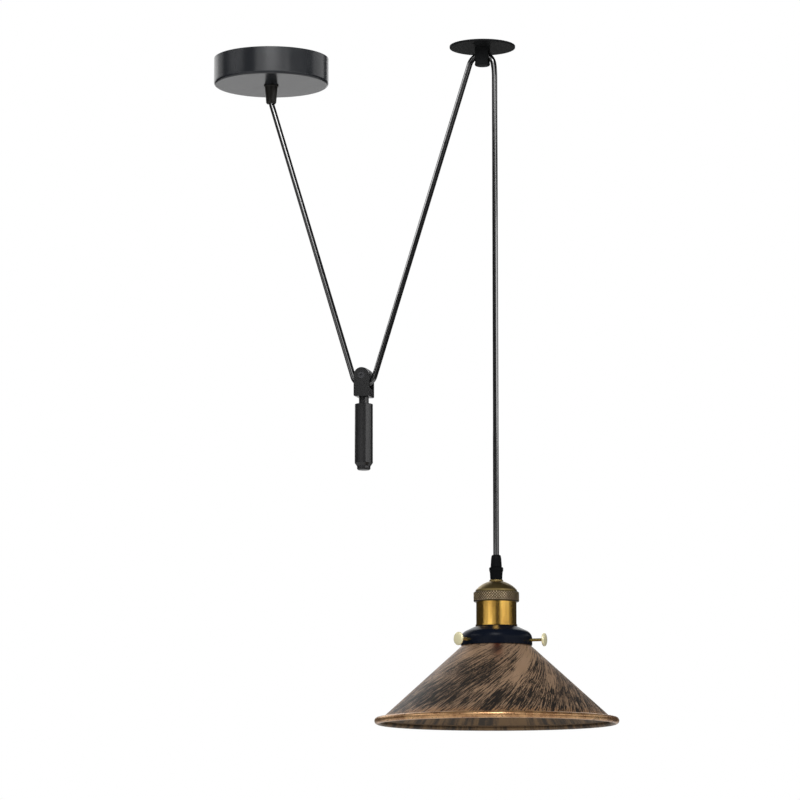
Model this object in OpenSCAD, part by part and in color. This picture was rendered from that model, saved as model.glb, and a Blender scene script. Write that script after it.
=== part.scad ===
// Rise and fall pendant light. Millimetres, +Z up, real size.
// The origin is the middle of the rose's mounting face on the ceiling. The cord runs in
// the plane Y = 0: down from the rose, under the wheel of the counterweight, up over the
// guide roller and down to the lamp. Every pulley turns about an axis along Y.

/* [Ceiling rose] */
// Outer diameter of the rose cover
rose_d = 117; // [100:1:140]
// Height of the rose cover
rose_h = 27.5; // [26:0.5:40]
// Sheet thickness of the rose cover
rose_wall = 1.2; // [0.8:0.1:2]

/* [Ceiling guide] */
// Distance from the rose to the guide post, along X
guide_x = 221.8; // [180:0.1:400]
// Diameter of the guide plate
plate_d = 66; // [50:1:90]
// Thickness of the guide plate
plate_t = 2; // [1.5:0.5:4]
// Diameter of the guide post
post_d = 15.5; // [14:0.5:20]

/* [Cord] */
// Outer diameter of the cord
cord_d = 5.8; // [5:0.1:7]

/* [Counterweight] */
// Position of the counterweight along X
weight_x = 98.5; // [80:0.5:200]
// Height of the wheel's centre below the ceiling
wheel_drop = 331; // [150:1:500]
// Width of the fork's cheeks
fork_w = 15.9; // [14:0.1:24]
// Diameter of the weight
weight_d = 18.2; // [14:0.2:30]
// Length of the weight
weight_len = 62.7; // [40:0.1:120]

/* [Lamp] */
// Height of the lamp's cord grip below the ceiling
lamp_drop = 514.5; // [300:0.5:1200]
// Outer diameter of the shade's rolled rim
shade_d = 240.2; // [180:0.1:300]
// Sheet thickness of the shade
shade_wall = 0.8; // [0.5:0.1:1.5]
// Turn of the thumbscrews about the lamp's axis
thumb_turn = -5; // [-60:1:60]

/* [View] */
// Sub-part to build

/* [Hidden] */
$fn = 96;

cord_r = cord_d / 2;
core_r = 0.95;                  // insulated core inside the cord
core_sides = 6;
cord_sides = 10;
cord_step = 20;                 // distance between the cord's rings on straight runs

// Rose: a hat-shaped bracket carries a hollow M10 nipple that the cord passes through.
bridge_top = -20;
bridge_t = 1.5;
bracket_half = 55;
foot_from = 38;
slot_at = 47;                   // distance of each fixing slot from the middle
slot_w = 4.5;
slot_len = 9;
nipple_r = 5;
nipple_bore = 3.2;
nipple_top = -15;
nut_af = 14;
nut_t = 3;
grip_len = 19;
block = [27, 16, 11];           // terminal block
block_x = 24;
block_screw_x = 19.5;
pole_pitch = 9;
pole_z = bridge_top + block.z / 2;

// Guide: a post with a window that holds a small grooved roller.
arch_top = -8.5;                // top of the cord's centre line in the window
roller_groove = 2.2;
roller_flange = 3.8;
roller_z = arch_top - cord_r - roller_groove - 0.1;
window_half = 3.8;
window_top = -5.2;
window_floor = -18;
post_len = 18.2;
plate_hole_at = 22;

// Counterweight, in coordinates whose origin is the wheel's centre.
wheel_z = -wheel_drop;
cheek_t = 4;
gap_half = 6;
fork_floor = -13.3;
fork_foot = -21.2;
wheel_groove = 5.4;
wheel_flange = 8.2;
wheel_half = 5.5;
bush_r = 3;
stem_foot = fork_foot - 7;
weight_foot = stem_foot - weight_len;
cord_dip = 8.5;                 // cord's centre line below the wheel's centre

// Cord route: arcs joined by straight runs, all in the plane Y = 0.
bend_r = 11.6;                  // bend under the wheel and right of the guide
arch_r = 14;                    // wider bend left of the guide
exit_r = 24;                    // bend at the rose's cord grip
drop_r = 100;                   // soft bend below the guide
drop_turn = 8;
exit_z = -42;
under = [weight_x, wheel_z - cord_dip + bend_r];
over_left = [guide_x, arch_top - arch_r];
over_right = [guide_x, arch_top - bend_r];
out = [exit_r, exit_z];
rose_lean = atan2(under.x - out.x, out.y - under.y)
          + asin((exit_r - bend_r) / norm(under - out));
guide_lean = atan2(over_left.x - under.x, over_left.y - under.y)
           - asin((arch_r + bend_r) / norm(over_left - under));
lamp_x = guide_x + bend_r * cos(drop_turn) + drop_r * (1 - cos(drop_turn));
drop_from = over_right + [bend_r * cos(drop_turn), bend_r * sin(drop_turn)];
drop_c = [lamp_x - drop_r, drop_from.y - drop_r * sin(drop_turn)];

// Lamp, in coordinates whose origin is the top of its cord grip.
grip_split = -12.4;
grip_foot = -24.7;
dome_z = -51.9;
dome_r = 26.6;
ring_top = -36.6;
ring_foot = -46.5;
ring_r = 22.6;
ring_bore = 19.9;
ring_round = 1.3;
body_r = 19.85;
body_foot = -70.2;
skirt_r = 19.4;
shell_r = 13.45;
shell_top = -56.5;
shell_foot = -76;
insert_top = -42;
insert_floor = -52;              // inner end of the insert's recess
shoulder = [26.25, -83.2];      // centre of the gallery's rounded shoulder
shoulder_r = 9;
gallery_slope = 24.4;
gallery_foot = -89.3;           // just clear of the shade's cone
gallery_wall = 1.2;
thumb_z = -84.9;
neck_r = 31;
neck_top = -81.5;
cone_rise = 1.105;              // radius gained per millimetre of cone
bead_r = 3.4;
rim_z = -163.5;
rim_r = shade_d / 2 - bead_r;
cone_end = rim_r - 1.2;

function arc(c, r, a0, a1, n) =
    [for (i = [0:n]) let (a = a0 + (a1 - a0) * i / n) c + r * [cos(a), sin(a)]];
function run(p, q) = let (n = ceil(norm(q - p) / cord_step))
    [for (i = [1:n - 1]) p + (q - p) * i / n];
function in_plane(p) = [for (q = p) [q.x, 0, q.y]];
function unit(v) = v / norm(v);
function heading(p, i) = unit(p[min(i + 1, len(p) - 1)] - p[max(i - 1, 0)]);
function last(v) = v[len(v) - 1];
// Side directions of a tube along p, carried from ring to ring without twist
function carry(p, u, i = 0) = i == len(p) ? [] :
    let (t = heading(p, i), w = unit(u - (u * t) * t)) concat([w], carry(p, w, i + 1));
// Height of the gallery's sloping top at radius r, for a section inset by t
function shoulder_top(r, t) = shoulder.y + (shoulder_r - t) / cos(gallery_slope)
                            + tan(gallery_slope) * (shoulder.x - r);

exit_arc = arc(out, exit_r, 180, 180 + rose_lean, 2);
under_in = arc(under, bend_r, 180 + rose_lean, 270, 5);
under_out = arc(under, bend_r, 270, 360 - guide_lean, 5);
over_in = arc(over_left, arch_r, 180 - guide_lean, 90, 5);
over_out = arc(over_right, bend_r, 90, drop_turn, 5);
drop_arc = arc(drop_c, drop_r, drop_turn, 0, 2);

rose_leg_route = concat([[0, nipple_top - 1], [0, -32]], exit_arc,
                        run(last(exit_arc), under_in[0]), under_in);
guide_leg_route = concat(under_out, run(last(under_out), over_in[0]), over_in);
drop_route = concat(over_out, [for (i = [1:2]) drop_arc[i]],
                    run(drop_arc[2], [lamp_x, -lamp_drop - 31]),
                    [[lamp_x, -lamp_drop - 31]]);

// Core ends inside the rose: from the nipple's top over to the terminal block.
rose_core_routes = [
    [[1.2, 0, -16], [1.5, -0.5, -12], [2, -3.5, -9], [4, -8, -8], [8, -13, -9],
     [12.4, -15.5, -12], [15, -14, -14.4], [15, -10, pole_z], [15, -5, pole_z]],
    [[-0.6, -1.1, -16], [-0.6, -1.8, -12], [0, -5, -8.4], [4, -11, -6.6],
     [12, -16, -7.6], [19, -18, -11], [23.6, -16, -14], [24, -11, pole_z],
     [24, -5, pole_z]],
    [[-0.6, 1.1, -16], [-0.6, 0.8, -10], [-0.4, -2.6, -5.6], [3, -10, -4.2],
     [12, -17, -5], [22, -20, -8.6], [31, -19, -13.2], [33, -13, pole_z],
     [33, -5, pole_z]]];
// Core ends inside the lampholder, from the cord's end to a terminal.
lamp_core_route = [[1.2, 0, -31.1], [1.6, 0, -33.5], [3, 0, -36.5], [4.4, 0, -38.6],
                   [6.2, 0, -39.6], [8.6, 0, -39.6]];

// Basic shapes
module disc(r, z0, z1) translate([0, 0, min(z0, z1)]) cylinder(r = r, h = abs(z1 - z0));
module tube(r, bore, z0, z1) difference() {
    disc(r, z0, z1);
    disc(bore, min(z0, z1) - 1, max(z0, z1) + 1);
}
module hex(af, z0, z1)
    translate([0, 0, min(z0, z1)]) cylinder(r = af / sqrt(3), h = abs(z1 - z0), $fn = 6);
module along_y(y0, y1, r1, r2) translate([0, y0, 0]) rotate([-90, 0, 0])
    cylinder(r1 = r1, r2 = r2 == undef ? r1 : r2, h = y1 - y0);
module turned() rotate_extrude() children();
module cord(path, r, sides, side) {
    n = len(path);
    across = carry(path, side);
    points = [for (i = [0:n - 1]) let (u = across[i], v = cross(heading(path, i), u))
              for (k = [0:sides - 1]) let (a = 360 * k / sides)
              path[i] + r * (cos(a) * u + sin(a) * v)];
    sides_of = [for (i = [0:n - 2]) for (k = [0:sides - 1]) let (m = (k + 1) % sides)
                [i * sides + k, (i + 1) * sides + k, (i + 1) * sides + m, i * sides + m]];
    polyhedron(points, concat([[for (k = [0:sides - 1]) k]], sides_of,
               [[for (k = [sides - 1:-1:0]) (n - 1) * sides + k]]));
}
module slot(w, len, z0, z1) {
    for (s = [-1, 1]) translate([s * (len - w) / 2, 0, 0]) disc(w / 2, z0, z1);
    translate([-(len - w) / 2, -w / 2, z0]) cube([len - w, w, z1 - z0]);
}
// Section of a cup that opens upwards, with a rounded lower edge
module cup_section(r, h, c, top) {
    translate([0, -h]) square([r - c, h + top]);
    translate([0, c - h]) square([r, h - c + top]);
    translate([r - c, c - h]) circle(c);
}

// Ceiling rose
module rose_cover() color([0.1, 0.1, 0.11]) difference() {
    turned() difference() {
        cup_section(rose_d / 2, rose_h, 2.4, 0);
        cup_section(rose_d / 2 - rose_wall, rose_h - rose_wall, 1.2, 1);
    }
    disc(nipple_r + 0.1, -rose_h - 1, 0);
}
module rose_bracket() color([0.7, 0.72, 0.75]) difference() {
    union() {
        for (s = [0, 180]) rotate([0, 0, s]) {
            translate([foot_from, -9, -bridge_t])
                cube([bracket_half - foot_from, 18, bridge_t]);
            translate([foot_from, -9, bridge_top - bridge_t])
                cube([bridge_t, 18, bridge_t - bridge_top]);
        }
        translate([-foot_from, -9, bridge_top - bridge_t])
            cube([2 * foot_from, 18, bridge_t]);
    }
    for (s = [-1, 1]) translate([s * slot_at, 0, 0]) slot(slot_w, slot_len, -3, 1);
    disc(nipple_r, bridge_top - 3, bridge_top + 3);
    translate([block_screw_x, 0, 0]) disc(1.5, bridge_top - 3, bridge_top + 3);
}
module rose_nipple() color([0.8, 0.7, 0.4])
    tube(nipple_r, nipple_bore, nipple_top, -rose_h - 10);
module rose_nuts() color([0.8, 0.7, 0.4]) difference() {
    union() {
        hex(nut_af, bridge_top, bridge_top + nut_t);
        hex(nut_af, bridge_top - bridge_t - nut_t, bridge_top - bridge_t);
    }
    disc(nipple_r, -40, 0);
}
module rose_cord_grip() color([0.13, 0.13, 0.12]) translate([0, 0, -rose_h])
    difference() {
        turned() {
            polygon([[0, 0], [7.2, 0], [7.5, -0.3], [7.5, -1.2], [7.2, -1.5], [6.4, -1.5],
                     [5.3, 2.2 - grip_len], [5.1, 1 - grip_len], [4.4, -grip_len],
                     [0, -grip_len]]);
        }
        disc(nipple_r, -10.5, 1);
        disc(cord_r + 0.05, -grip_len - 1, 0);
        translate([0, 0, -grip_len - 0.1]) cylinder(r1 = 3.9, r2 = cord_r, h = 5);
    }
module terminal_block() color([0.9, 0.9, 0.86]) difference() {
    translate([block_x - block.x / 2, -block.y / 2, bridge_top]) cube(block);
    for (i = [-1:1]) translate([block_x + i * pole_pitch, 0, pole_z]) {
        along_y(-block.y, block.y, 2.2);
        for (s = [-1, 1]) translate([0, s * 4, 0]) disc(1.8, 0, block.z);
    }
    translate([block_screw_x, 0, bridge_top]) {
        disc(1.5, -1, block.z + 1);
        disc(2.6, block.z - 2, block.z + 1);
    }
}
module terminal_inserts() color([0.85, 0.7, 0.35])
    for (i = [-1:1]) translate([block_x + i * pole_pitch, 0, pole_z]) difference() {
        along_y(-7, 7, 2.2);
        along_y(-8, 8, 1.3);
        for (s = [-1, 1]) translate([0, s * 4, 0]) disc(1.3, 0, 3);
    }
module terminal_screws() color([0.75, 0.75, 0.78])
    for (i = [-1:1], s = [-1, 1])
        translate([block_x + i * pole_pitch, s * 4, pole_z]) difference() {
            disc(1.3, 0.95, 5);
            translate([-2, -0.25, 4.2]) cube([4, 0.5, 2]);
        }
module block_screw() color([0.75, 0.75, 0.78])
    translate([block_screw_x, 0, bridge_top]) difference() {
        union() {
            disc(1.5, -bridge_t - 1, block.z - 1);
            disc(2.5, block.z - 2, block.z - 0.3);
        }
        translate([-3, -0.3, block.z - 1]) cube([6, 0.6, 2]);
    }
module rose_wires() color([0.35, 0.45, 0.3])
    for (p = rose_core_routes) cord(p, core_r, core_sides, [1, 0, 0]);

// Ceiling guide
module guide_plate() color([0.1, 0.1, 0.11]) translate([guide_x, 0, 0]) difference() {
    turned() {
        translate([0, -plate_t]) square([plate_d / 2 - 0.5, plate_t]);
        translate([0, -plate_t + 0.5]) square([plate_d / 2, plate_t - 0.5]);
        translate([plate_d / 2 - 0.5, 0.5 - plate_t]) circle(0.5);
    }
    disc(2.1, -5, 1);
    translate([0, 0, -1.9]) cylinder(r1 = 2.1, r2 = 4.1, h = 2);
    for (s = [-1, 1]) translate([0, s * plate_hole_at, 0]) {
        disc(2.25, -5, 1);
        translate([0, 0, -plate_t - 0.1]) cylinder(r1 = 4.3, r2 = 2.25, h = 2);
    }
}
module guide_post_screw() color([0.6, 0.6, 0.63]) translate([guide_x, 0, 0])
    difference() {
        union() {
            disc(2, window_top + 0.1, 0);
            translate([0, 0, -1.9]) cylinder(r1 = 2, r2 = 3.9, h = 1.9);
        }
        hex(2.5, -1.4, 1);
    }
module guide_post() color([0.1, 0.1, 0.11]) translate([guide_x, 0, -plate_t])
    difference() {
        turned() {
            translate([0, -post_len + 1.5]) square([post_d / 2, post_len - 1.5]);
            translate([0, -post_len]) square([post_d / 2 - 1.5, post_len]);
            translate([post_d / 2 - 1.5, 1.5 - post_len]) circle(1.5);
        }
        translate([-post_d, -window_half, window_floor + plate_t])
            cube([2 * post_d, 2 * window_half, window_top - window_floor]);
        disc(2, -5, 1);
        translate([0, 0, roller_z + plate_t]) along_y(-5.5, 10, 1);
    }
module guide_pin() color([0.7, 0.72, 0.75]) translate([guide_x, 0, roller_z])
    along_y(-5.5, 7.3, 1);
module guide_roller() color([0.75, 0.72, 0.6]) translate([guide_x, 0, roller_z])
    rotate([90, 0, 0]) turned() difference() {
        translate([1.05, -3.6]) square([roller_flange - 1.05, 7.2]);
        translate([roller_groove + 3, 0]) circle(3);
    }

// Counterweight
module fork() color([0.12, 0.12, 0.13]) translate([weight_x, 0, wheel_z]) difference() {
    translate([0, gap_half + cheek_t, 0]) rotate([90, 0, 0])
        linear_extrude(2 * (gap_half + cheek_t)) {
            circle(fork_w / 2);
            translate([-fork_w / 2, fork_foot + 1.5]) square([fork_w, -fork_foot - 1.5]);
            translate([1.5 - fork_w / 2, fork_foot]) square([fork_w - 3, -fork_foot]);
            for (s = [-1, 1]) translate([s * (fork_w / 2 - 1.5), fork_foot + 1.5])
                circle(1.5);
        }
    translate([-fork_w, -gap_half, fork_floor]) cube([2 * fork_w, 2 * gap_half, 40]);
    along_y(-gap_half - cheek_t - 1, gap_half + cheek_t + 1, 2);
    along_y(-gap_half - cheek_t - 0.01, -gap_half - cheek_t + 1.5, 3.4, 2);
    disc(3, fork_foot - 1, -14.3);
}
module axle_screw() color([0.2, 0.2, 0.21]) translate([weight_x, 0, wheel_z])
    difference() {
        union() {
            along_y(-gap_half - cheek_t, gap_half + cheek_t - 0.6, 2);
            along_y(-gap_half - cheek_t, -gap_half - cheek_t + 1.4, 3.3, 2);
        }
        translate([0, -gap_half - cheek_t + 1.6, 0]) rotate([90, 0, 0]) hex(2.5, 0, 3);
    }
module axle_bush() color([0.8, 0.65, 0.35]) translate([weight_x, 0, wheel_z])
    difference() {
        along_y(-gap_half, gap_half, bush_r);
        along_y(-gap_half - 1, gap_half + 1, 2);
    }
module pulley_wheel() color([0.16, 0.16, 0.17]) translate([weight_x, 0, wheel_z])
    rotate([90, 0, 0]) turned() difference() {
        translate([bush_r + 0.05, -wheel_half])
            square([wheel_flange - bush_r - 0.05, 2 * wheel_half]);
        translate([wheel_groove + 3.2, 0]) circle(3.2);
    }
module weight_stem() color([0.12, 0.12, 0.13]) translate([weight_x, 0, wheel_z]) {
    disc(5, stem_foot, fork_foot);
    disc(3, fork_foot, -14.8);
    disc(3, stem_foot - 11.5, stem_foot);
}
module weight() color([0.1, 0.1, 0.11]) translate([weight_x, 0, wheel_z]) difference() {
    turned() polygon([[0, stem_foot], [weight_d / 2 - 0.4, stem_foot],
                      [weight_d / 2, stem_foot - 0.4], [weight_d / 2, weight_foot + 3.3],
                      [weight_d / 2 - 2.2, weight_foot], [0, weight_foot]]);
    disc(3, stem_foot - 12, stem_foot + 1);
    disc(3, weight_foot - 1, weight_foot + 11);
}
module weight_end_cap() color([0.15, 0.15, 0.16]) translate([weight_x, 0, wheel_z]) {
    turned() {
        translate([0, weight_foot - 2]) square([6.75, 2]);
        translate([0, weight_foot - 4]) square([4.75, 3]);
        translate([4.75, weight_foot - 2]) circle(2);
    }
    disc(3, weight_foot, weight_foot + 10.5);
}

// Lamp
module at_lamp() translate([lamp_x, 0, -lamp_drop]) children();
module lamp_grip_cap() color([0.1, 0.1, 0.1]) at_lamp() turned() difference() {
    polygon([[cord_r + 0.05, 0], [3.7, 0], [4.3, -0.4], [4.75, -1.6], [5.1, -4],
             [5.6, -11.8], [5.4, grip_split], [cord_r + 0.05, grip_split]]);
}
module lamp_grip_body() color([0.1, 0.1, 0.1]) at_lamp() difference() {
    turned() polygon([[0, grip_split], [6.6, grip_split], [6.95, -12.9], [6.95, -15.4],
                      [6.3, -17.5], [5.9, grip_foot], [0, grip_foot]]);
    disc(cord_r + 0.05, grip_foot - 1, 0);
    disc(nipple_r, grip_foot - 1, -18.8);
}
module holder_nipple() color([0.8, 0.7, 0.4]) at_lamp()
    tube(nipple_r, nipple_bore, -32, -19);
module holder_nut() color([0.8, 0.7, 0.4]) at_lamp() difference() {
    hex(nut_af, -27.7 - nut_t, -27.7);
    disc(nipple_r, -40, -20);
}
module holder_collar() color([0.8, 0.6, 0.25]) at_lamp() difference() {
    turned() {
        translate([0, grip_foot - 2.5]) square([6.4, 2.5]);
        translate([0, grip_foot - 2.5]) square([6.9, 2]);
        translate([6.4, grip_foot - 0.5]) circle(0.5);
    }
    translate([0, 0, dome_z]) sphere(dome_r);
    disc(nipple_r, -40, 0);
}
module holder_cap() color([0.7, 0.6, 0.3]) at_lamp() difference() {
    union() {
        intersection() {
            translate([0, 0, dome_z]) sphere(dome_r);
            disc(20.4, ring_top, 0);
        }
        disc(20.4, ring_top - 1.3, ring_top + 0.1);
        disc(21.3, ring_top - 2.5, ring_top - 1.3);
    }
    intersection() {
        translate([0, 0, dome_z]) sphere(dome_r - 1);
        disc(19.4, ring_top - 3, 0);
    }
    disc(nipple_r, -40, 0);
}
module knurled_ring() color([0.45, 0.38, 0.3]) at_lamp() turned() difference() {
    union() {
        translate([ring_bore, ring_foot])
            square([ring_r - ring_round - ring_bore, ring_top - ring_foot]);
        translate([ring_bore, ring_foot + ring_round])
            square([ring_r - ring_bore, ring_top - ring_foot - 2 * ring_round]);
        for (z = [ring_foot + ring_round, ring_top - ring_round])
            translate([ring_r - ring_round, z]) circle(ring_round);
    }
    translate([19, ring_top - 1.3]) square([1.45, 3]);
    translate([19, ring_top - 2.55]) square([2.35, 1.25]);
}
module holder_body() color([0.8, 0.6, 0.25]) at_lamp() {
    tube(body_r, body_r - 1, body_foot, ring_top - 2.55);
    tube(20.5, body_r - 1, body_foot, body_foot + 1.3);
    tube(skirt_r, body_r - 1, body_foot - 13.8, body_foot);
}
module holder_insert() color([0.93, 0.92, 0.88]) at_lamp() difference() {
    disc(body_r - 1.05, -80, insert_top);
    disc(shell_r + 0.5, -81, insert_floor);
    disc(1.5, -60, -40);
}
module screw_shell() color([0.85, 0.7, 0.35]) at_lamp() {
    tube(shell_r + 0.5, shell_r, shell_foot, shell_top);
    tube(shell_r + 0.5, 9.5, shell_top, shell_top + 0.5);
}
module centre_contact() color([0.85, 0.7, 0.35]) at_lamp() {
    disc(1.5, insert_floor - 0.5, insert_top);
    translate([0, 3, insert_floor]) rotate([90, 0, 0]) linear_extrude(6)
        polygon([[-7, 0], [-7, -0.6], [-1.5, -0.6], [5, -4.4], [8, -4.4],
                 [8, -3.8], [5.2, -3.8], [-1.3, 0]]);
}
module lamp_terminals() color([0.85, 0.7, 0.35]) at_lamp()
    for (a = [90, 210, 330]) rotate([0, 0, a]) difference() {
        translate([8, -2.5, insert_top]) cube([6, 5, 5]);
        translate([6, 0, -39.6]) rotate([0, 90, 0]) cylinder(r = 1.3, h = 5);
        translate([11, 0, 0]) disc(1.3, -39, -30);
    }
module lamp_terminal_screws() color([0.75, 0.75, 0.78]) at_lamp()
    for (a = [90, 210, 330]) rotate([0, 0, a]) translate([11, 0, 0]) {
        disc(1.3, -38.6, -37);
        disc(2.3, -37, -35.4);
    }
module lamp_wires() color([0.35, 0.45, 0.3]) at_lamp()
    for (a = [90, 210, 330]) rotate([0, 0, a])
        cord(lamp_core_route, core_r, core_sides, [0, 1, 0]);
module gallery() color([0.08, 0.09, 0.12]) at_lamp() difference() {
    turned() polygon(concat(
        [[skirt_r + 0.05, shoulder_top(skirt_r, 0)]],
        arc(shoulder, shoulder_r, 90 - gallery_slope, 0, 10),
        [[shoulder.x + shoulder_r, gallery_foot],
         [shoulder.x + shoulder_r - gallery_wall, gallery_foot]],
        arc(shoulder, shoulder_r - gallery_wall, 0, 90 - gallery_slope, 10),
        [[skirt_r + 0.05, shoulder_top(skirt_r, gallery_wall)]]));
    for (i = [0:2]) rotate([0, 0, thumb_turn + 120 * i]) translate([0, 0, thumb_z])
        rotate([0, 90, 0]) cylinder(r = 1.55, h = 60);
}
module shade_ring() color([0.75, 0.6, 0.3]) at_lamp() turned()
    polygon([[skirt_r, -77], [23.5, -77], [23.5, shoulder_top(23.5, gallery_wall)],
             [skirt_r, shoulder_top(skirt_r, gallery_wall)]]);
module shade() {
    across = shade_wall * sqrt(1 + cone_rise * cone_rise);
    neck_foot = rim_z + (cone_end - neck_r) / cone_rise;
    neck_in = rim_z + (cone_end - across - neck_r + shade_wall) / cone_rise;
    color([0.5, 0.4, 0.3]) at_lamp() {
        turned() polygon([[neck_r - shade_wall, neck_top], [neck_r, neck_top],
                          [neck_r, neck_foot], [cone_end, rim_z],
                          [cone_end - across, rim_z], [neck_r - shade_wall, neck_in]]);
        turned() translate([neck_r + 0.1, neck_top - 0.1]) circle(0.8);
        turned() translate([rim_r, rim_z]) circle(bead_r);
    }
}
module thumbscrew(i) color([0.9, 0.8, 0.5]) at_lamp()
    rotate([0, 0, thumb_turn + 120 * i]) translate([0, 0, thumb_z]) rotate([0, 90, 0])
        turned() {
            polygon([[0, neck_r + 0.1], [1.2, neck_r + 0.1], [1.5, neck_r + 0.4],
                     [1.5, 47], [2.3, 47.6], [2.3, 48.6], [0, 48.6]]);
            translate([0, 48.2]) square([5.4, 2.4]);
            translate([5.4, 49.4]) circle(1.2);
            intersection() {
                translate([0, 50.6 - 27]) circle(27.6);
                translate([0, 50]) square([5.6, 2]);
            }
        }
module thumbscrew_1() thumbscrew(0);
module thumbscrew_2() thumbscrew(1);
module thumbscrew_3() thumbscrew(2);

// Cord
module cord_rose_leg() color([0.05, 0.05, 0.05])
    cord(in_plane(rose_leg_route), cord_r, cord_sides, [0, 1, 0]);
module cord_guide_leg() color([0.05, 0.05, 0.05])
    cord(in_plane(guide_leg_route), cord_r, cord_sides, [0, 1, 0]);
module cord_drop() color([0.05, 0.05, 0.05])
    cord(in_plane(drop_route), cord_r, cord_sides, [0, 1, 0]);

rose_cover();
rose_bracket();
rose_nipple();
rose_nuts();
rose_cord_grip();
terminal_block();
terminal_inserts();
terminal_screws();
block_screw();
rose_wires();
guide_plate();
guide_post_screw();
guide_post();
guide_pin();
guide_roller();
fork();
axle_screw();
axle_bush();
pulley_wheel();
weight_stem();
weight();
weight_end_cap();
lamp_grip_cap();
lamp_grip_body();
holder_nipple();
holder_nut();
holder_collar();
holder_cap();
knurled_ring();
holder_body();
holder_insert();
screw_shell();
centre_contact();
lamp_terminals();
lamp_terminal_screws();
lamp_wires();
gallery();
shade_ring();
shade();
thumbscrew_1();
thumbscrew_2();
thumbscrew_3();
cord_rose_leg();
cord_guide_leg();
cord_drop();
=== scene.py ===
"""Rise and fall pendant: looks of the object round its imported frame, in metres, +Z up.

The origin is the middle of the rose's face on the ceiling. The cord runs in the plane
Y = 0: from the rose under the counterweight's wheel, over the guide and down to the lamp.
"""
import math

import bpy
import numpy as np
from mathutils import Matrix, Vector


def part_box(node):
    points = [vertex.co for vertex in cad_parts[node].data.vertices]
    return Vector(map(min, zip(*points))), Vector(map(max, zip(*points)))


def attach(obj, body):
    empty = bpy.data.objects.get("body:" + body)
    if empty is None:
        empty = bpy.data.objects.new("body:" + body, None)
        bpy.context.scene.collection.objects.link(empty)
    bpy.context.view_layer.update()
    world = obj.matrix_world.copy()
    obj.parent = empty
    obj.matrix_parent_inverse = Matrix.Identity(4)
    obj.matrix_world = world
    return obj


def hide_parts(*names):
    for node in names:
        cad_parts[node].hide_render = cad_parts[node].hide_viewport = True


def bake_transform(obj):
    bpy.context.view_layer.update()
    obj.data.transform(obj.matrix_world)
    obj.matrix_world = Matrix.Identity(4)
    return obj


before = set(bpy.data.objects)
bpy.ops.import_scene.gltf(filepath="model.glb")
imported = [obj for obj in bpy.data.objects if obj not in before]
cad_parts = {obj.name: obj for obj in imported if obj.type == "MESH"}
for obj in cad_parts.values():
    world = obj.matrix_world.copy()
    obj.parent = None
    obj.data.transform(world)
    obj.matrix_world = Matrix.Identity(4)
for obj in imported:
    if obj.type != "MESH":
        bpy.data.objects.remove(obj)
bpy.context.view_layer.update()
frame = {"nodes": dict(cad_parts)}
scene = bpy.context.scene


# ---------------------------------------------------------------------------------
# Camera. It stands to the right of the pendant and below the lamp's shade, and looks
# up a little, so that the undersides of the rose and of the guide plate show.
camera_data = bpy.data.cameras.new("camera")
camera_data.lens = 172.8
camera_data.sensor_width = 36
camera_data.clip_end = 60
camera = bpy.data.objects.new("camera", camera_data)
scene.collection.objects.link(camera)
scene.camera = camera
view_turn = math.radians(15)
view_rise = math.radians(8.008)
camera.location = (1.1195, -3.6705, -0.8910)
look = Vector((-math.sin(view_turn) * math.cos(view_rise),
               math.cos(view_turn) * math.cos(view_rise), math.sin(view_rise)))
camera.rotation_euler = look.to_track_quat("-Z", "Y").to_euler()


# ---------------------------------------------------------------------------------
# Cord. One length of round three-core flex in glossy black PVC. It is drawn in three
# stretches, because the counterweight and the lamp each carry an end of two of them.
cord_d = 0.0058
cord_sides = 28


def middle(node):
    """The centre of a node's box."""
    low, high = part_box(node)
    return (np.array(low) + np.array(high)) / 2


def unit(v):
    """Rows of v scaled to length 1."""
    return v / np.linalg.norm(v, axis=-1, keepdims=True)


def arc(centre, radius, start, end, steps):
    """Points of a circle from angle start to angle end, in degrees, with both ends."""
    a = np.radians(np.linspace(start, end, steps + 1))
    return np.array(centre) + radius * np.stack([np.cos(a), np.sin(a)], axis=1)


def run(p, q, step):
    """Points of the straight line from p to q, without its ends."""
    n = max(math.ceil(np.linalg.norm(q - p) / step), 1)
    return p + (q - p) * np.arange(1, n)[:, None] / n


def grid_faces(rows, columns, row_wraps=False):
    """Quads of a grid of points: each joins (i, k), (i, k+1), (i+1, k+1) and (i+1, k).

    Columns always close into a ring. Rows do too where row_wraps is true.
    """
    i, k = np.meshgrid(np.arange(rows if row_wraps else rows - 1), np.arange(columns),
                       indexing="ij")
    after, beside = (i + 1) % rows, (k + 1) % columns
    corners = [i * columns + k, i * columns + beside, after * columns + beside,
               after * columns + k]
    return np.stack(corners, axis=-1).reshape(-1, 4)


def piece(name, points, faces, caps=(), **attributes):
    """A smooth mesh object of those points, quads and end polygons.

    Each attribute is one number, or one vector, for every point.
    """
    mesh = bpy.data.meshes.new(name)
    mesh.from_pydata(np.asarray(points).tolist(), [], faces.tolist() + list(caps))
    for key, values in attributes.items():
        values = np.asarray(values, dtype=np.float32)
        kind, field = ("FLOAT", "value") if values.ndim == 1 else ("FLOAT_VECTOR", "vector")
        mesh.attributes.new(key, kind, "POINT").data.foreach_set(field, values.ravel())
    mesh.shade_smooth()
    obj = bpy.data.objects.new(name, mesh)
    scene.collection.objects.link(obj)
    return obj


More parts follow.
